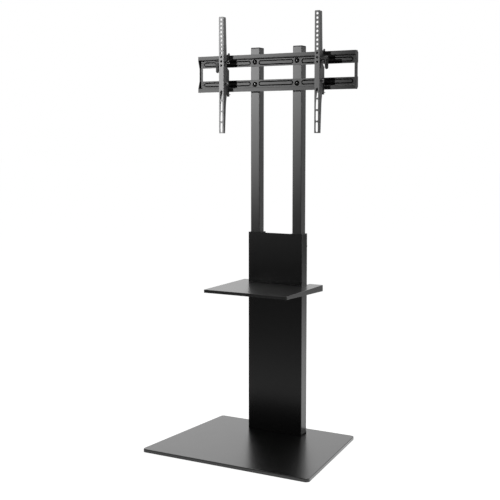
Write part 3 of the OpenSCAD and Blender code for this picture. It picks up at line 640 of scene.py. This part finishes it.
@dataclass
class Studio:
    """Pale floor, room light, lamps and camera."""

    lamps: tuple[Lamp, ...] = (
        Lamp("key_lamp", (-1.1, -2.45, 1.85), (-0.37, 0.1, 1.5), 355.0, 0.05, cone_deg=30.0),
        Lamp("low_lamp", (-1.8, -2.4, 1.3), (-0.02, 0.16, 0.86), 38.0, 0.05, cone_deg=12.0),
        Lamp("fill_lamp", (3.5, 1.5, 1.3), (0.0, 0.15, 1.0), 27.0, 2.0),
        Lamp("above_lamp", (0.0, 0.45, 3.0), (0.0, 0.0, 0.5), 20.0, 1.2),
    )
    room_level: float = 0.03
    screen_level: float = 0.42
    paper_level: float = 0.985
    floor_colour: str = "c0c0c0"
    floor_reach: float = 60.0
    pool_middle: tuple[float, float] = (0.5, 0.8)
    pool_reach: float = 2.35
    yaw_deg: float = 28.4439
    pitch_deg: float = 4.924
    eye: tuple[float, float, float] = (1.66246, -3.11357, 1.15717)
    focal_px: float = 964.35
    photo_px: float = 500.0
    sensor_mm: float = 36.0
    shift_y: float = -0.06

    def floor(self) -> bpy.types.Object:
        """Lays the floor, a white sheet with its own brightness in reflections.

        That brightness is front · 1 / (1 + (d / pool_reach) squared) + far, where d is the distance from the
        pool of light behind the stand, front falls from 1 behind the stand to 0.27 in front of it, and far
        rises from 0 at 5 m in front to 0.95 at 11 m.
        """
        half = self.floor_reach / 2
        corners = np.array([[-half, -half, 0], [half, -half, 0], [half, half, 0], [-half, half, 0]], float)
        mesh = bpy.data.meshes.new("floor")
        mesh.from_pydata(corners.tolist(), [], [(0, 1, 2, 3)])
        sheet = bpy.data.objects.new("floor", mesh)
        bpy.context.scene.collection.objects.link(sheet)
        material = bpy.data.materials.new("white_floor")
        material.use_nodes = True
        tree = material.node_tree
        tree.nodes.clear()
        path = add_node(tree, "LightPath")
        place = add_node(tree, "TexCoord")
        moved = add_node(tree, "VectorMath", {1: (*self.pool_middle, 0)}, {0: place.outputs["Object"]},
                         operation="SUBTRACT")
        scaled = add_node(tree, "VectorMath", {1: (1 / self.pool_reach, 1 / self.pool_reach, 0)},
                          {0: moved.outputs["Vector"]}, operation="MULTIPLY")
        length = add_node(tree, "VectorMath", links={0: scaled.outputs["Vector"]}, operation="LENGTH")
        square = add_node(tree, "Math", {1: 2.0}, {0: length.outputs["Value"]}, operation="POWER")
        under = add_node(tree, "Math", {1: 1.0}, {0: square.outputs["Value"]}, operation="ADD")
        pool = add_node(tree, "Math", {0: 1.0}, {1: under.outputs["Value"]}, operation="DIVIDE")
        parts = add_node(tree, "SeparateXYZ", links={"Vector": place.outputs["Object"]})
        front = add_node(tree, "MapRange", {"From Min": -2.2, "From Max": 0.5, "To Min": 0.27, "To Max": 1.0},
                         {"Value": parts.outputs["Y"]}, interpolation_type="SMOOTHSTEP")
        far = add_node(tree, "MapRange", {"From Min": -5.0, "From Max": -11.0, "To Min": 0.0, "To Max": 0.95},
                       {"Value": parts.outputs["Y"]}, interpolation_type="SMOOTHSTEP")
        fade = add_node(tree, "Math", {}, {0: pool.outputs["Value"], 1: front.outputs["Result"],
                                           2: far.outputs["Result"]}, operation="MULTIPLY_ADD")
        glossy = add_node(tree, "Math", {}, {0: path.outputs["Is Glossy Ray"], 1: fade.outputs["Value"]},
                          operation="MULTIPLY")
        level = add_node(tree, "Mix", {3: self.paper_level},
                         {0: path.outputs["Is Camera Ray"], 2: glossy.outputs["Value"]})
        glow = add_node(tree, "Emission", {"Color": srgb("ffffff")}, {"Strength": level.outputs[0]})
        matt = add_node(tree, "BsdfDiffuse", {"Color": srgb(self.floor_colour)})
        both = add_node(tree, "AddShader", links={0: matt.outputs["BSDF"], 1: glow.outputs["Emission"]})
        add_node(tree, "OutputMaterial", links={"Surface": both.outputs["Shader"]})
        mesh.materials.append(material)
        return sheet

    def room(self) -> None:
        """Sets the room: white to the eye, faint as light, and a pale wall behind in reflections.

        The back wall's brightness in reflections rises with the height of the ray from 2 to 9 degrees. To the
        right of it stands a paler screen that is brightest at eye level.
        """
        world = bpy.data.worlds.new("studio")
        bpy.context.scene.world = world
        world.use_nodes = True
        tree = world.node_tree
        tree.nodes.clear()
        path = add_node(tree, "LightPath")
        way = add_node(tree, "TexCoord")
        parts = add_node(tree, "SeparateXYZ", links={"Vector": way.outputs["Generated"]})
        rise = add_node(tree, "MapRange", {"From Min": 0.03, "From Max": 0.17, "To Min": 0.14, "To Max": 0.95},
                        {"Value": parts.outputs["Z"]}, interpolation_type="SMOOTHSTEP")
        near = add_node(tree, "MapRange", {"From Min": 0.2, "From Max": 0.34, "To Min": 0.38, "To Max": 0.08},
                        {"Value": parts.outputs["Z"]}, interpolation_type="SMOOTHSTEP")
        back = add_node(tree, "MapRange", {"From Min": -0.25, "From Max": 0.5, "To Max": 1.0},
                        {"Value": parts.outputs["Y"], "To Min": near.outputs["Result"]},
                        interpolation_type="SMOOTHSTEP")
        side = add_node(tree, "MapRange", {"From Min": -0.55, "From Max": 0.1, "To Min": 1.08, "To Max": 0.6},
                        {"Value": parts.outputs["X"]})
        wall = add_node(tree, "Math", {}, {0: rise.outputs["Result"], 1: back.outputs["Result"]},
                        operation="MULTIPLY")
        wall = add_node(tree, "Math", {}, {0: wall.outputs["Value"], 1: side.outputs["Result"]},
                        operation="MULTIPLY")
        right = add_node(tree, "MapRange", {"From Min": 0.05, "From Max": 0.45, "To Max": self.screen_level},
                         {"Value": parts.outputs["X"]}, interpolation_type="SMOOTHSTEP")
        depth = add_node(tree, "MapRange", {"From Min": -0.1, "From Max": 0.5},
                         {"Value": parts.outputs["Y"]}, interpolation_type="SMOOTHSTEP")
        height = add_node(tree, "MapRange", {"From Min": 0.12, "From Max": 0.5, "To Min": 1.0, "To Max": 0.2},
                          {"Value": parts.outputs["Z"]}, interpolation_type="SMOOTHSTEP")
        screen = add_node(tree, "Math", {}, {0: right.outputs["Result"], 1: depth.outputs["Result"]},
                          operation="MULTIPLY")
        wall = add_node(tree, "Math", {}, {0: screen.outputs["Value"], 1: height.outputs["Result"],
                                           2: wall.outputs["Value"]}, operation="MULTIPLY_ADD")
        lit = add_node(tree, "Mix", {2: self.room_level},
                       {0: path.outputs["Is Glossy Ray"], 3: wall.outputs["Value"]})
        level = add_node(tree, "Mix", {3: 1.0}, {0: path.outputs["Is Camera Ray"], 2: lit.outputs[0]})
        sky = add_node(tree, "Background", {"Color": srgb("ffffff")}, {"Strength": level.outputs[0]})
        add_node(tree, "OutputWorld", links={"Surface": sky.outputs["Background"]})

    def camera(self) -> bpy.types.Object:
        """Sets the camera: it looks back and down by the pitch, turned to the left by the yaw."""
        data = bpy.data.cameras.new("camera")
        data.sensor_width = self.sensor_mm
        data.lens = self.focal_px * self.sensor_mm / self.photo_px
        data.shift_y = self.shift_y
        data.clip_start, data.clip_end = 0.05, 100.0
        camera = bpy.data.objects.new("camera", data)
        bpy.context.scene.collection.objects.link(camera)
        camera.location = self.eye
        tip = math.pi / 2 - math.radians(self.pitch_deg)
        camera.rotation_euler = Euler((tip, 0, math.radians(self.yaw_deg)))
        bpy.context.scene.camera = camera
        return camera

    def build(self) -> None:
        """Builds the whole studio."""
        self.floor()
        self.room()
        for lamp in self.lamps:
            lamp.hang()
        self.camera()
        bpy.context.scene.view_settings.view_transform = "Standard"


def main() -> None:
    """Dresses the stand piece by piece, then sets the studio."""
    logging.basicConfig(level=logging.INFO, format="%(name)s: %(message)s")
    paints = Paintbox()
    edges = SoftEdges()
    Base().dress(paints)
    LOG.info("base dressed")
    Column().dress(paints, edges)
    LOG.info("column dressed")
    Mast().dress(paints, edges)
    LOG.info("mast dressed")
    TiltArms().dress(paints)
    LOG.info("arms dressed")
    Shelf().dress(paints)
    LOG.info("shelf dressed")
    Studio().build()
    LOG.info("studio set")


if __name__ == "__main__":
    main()
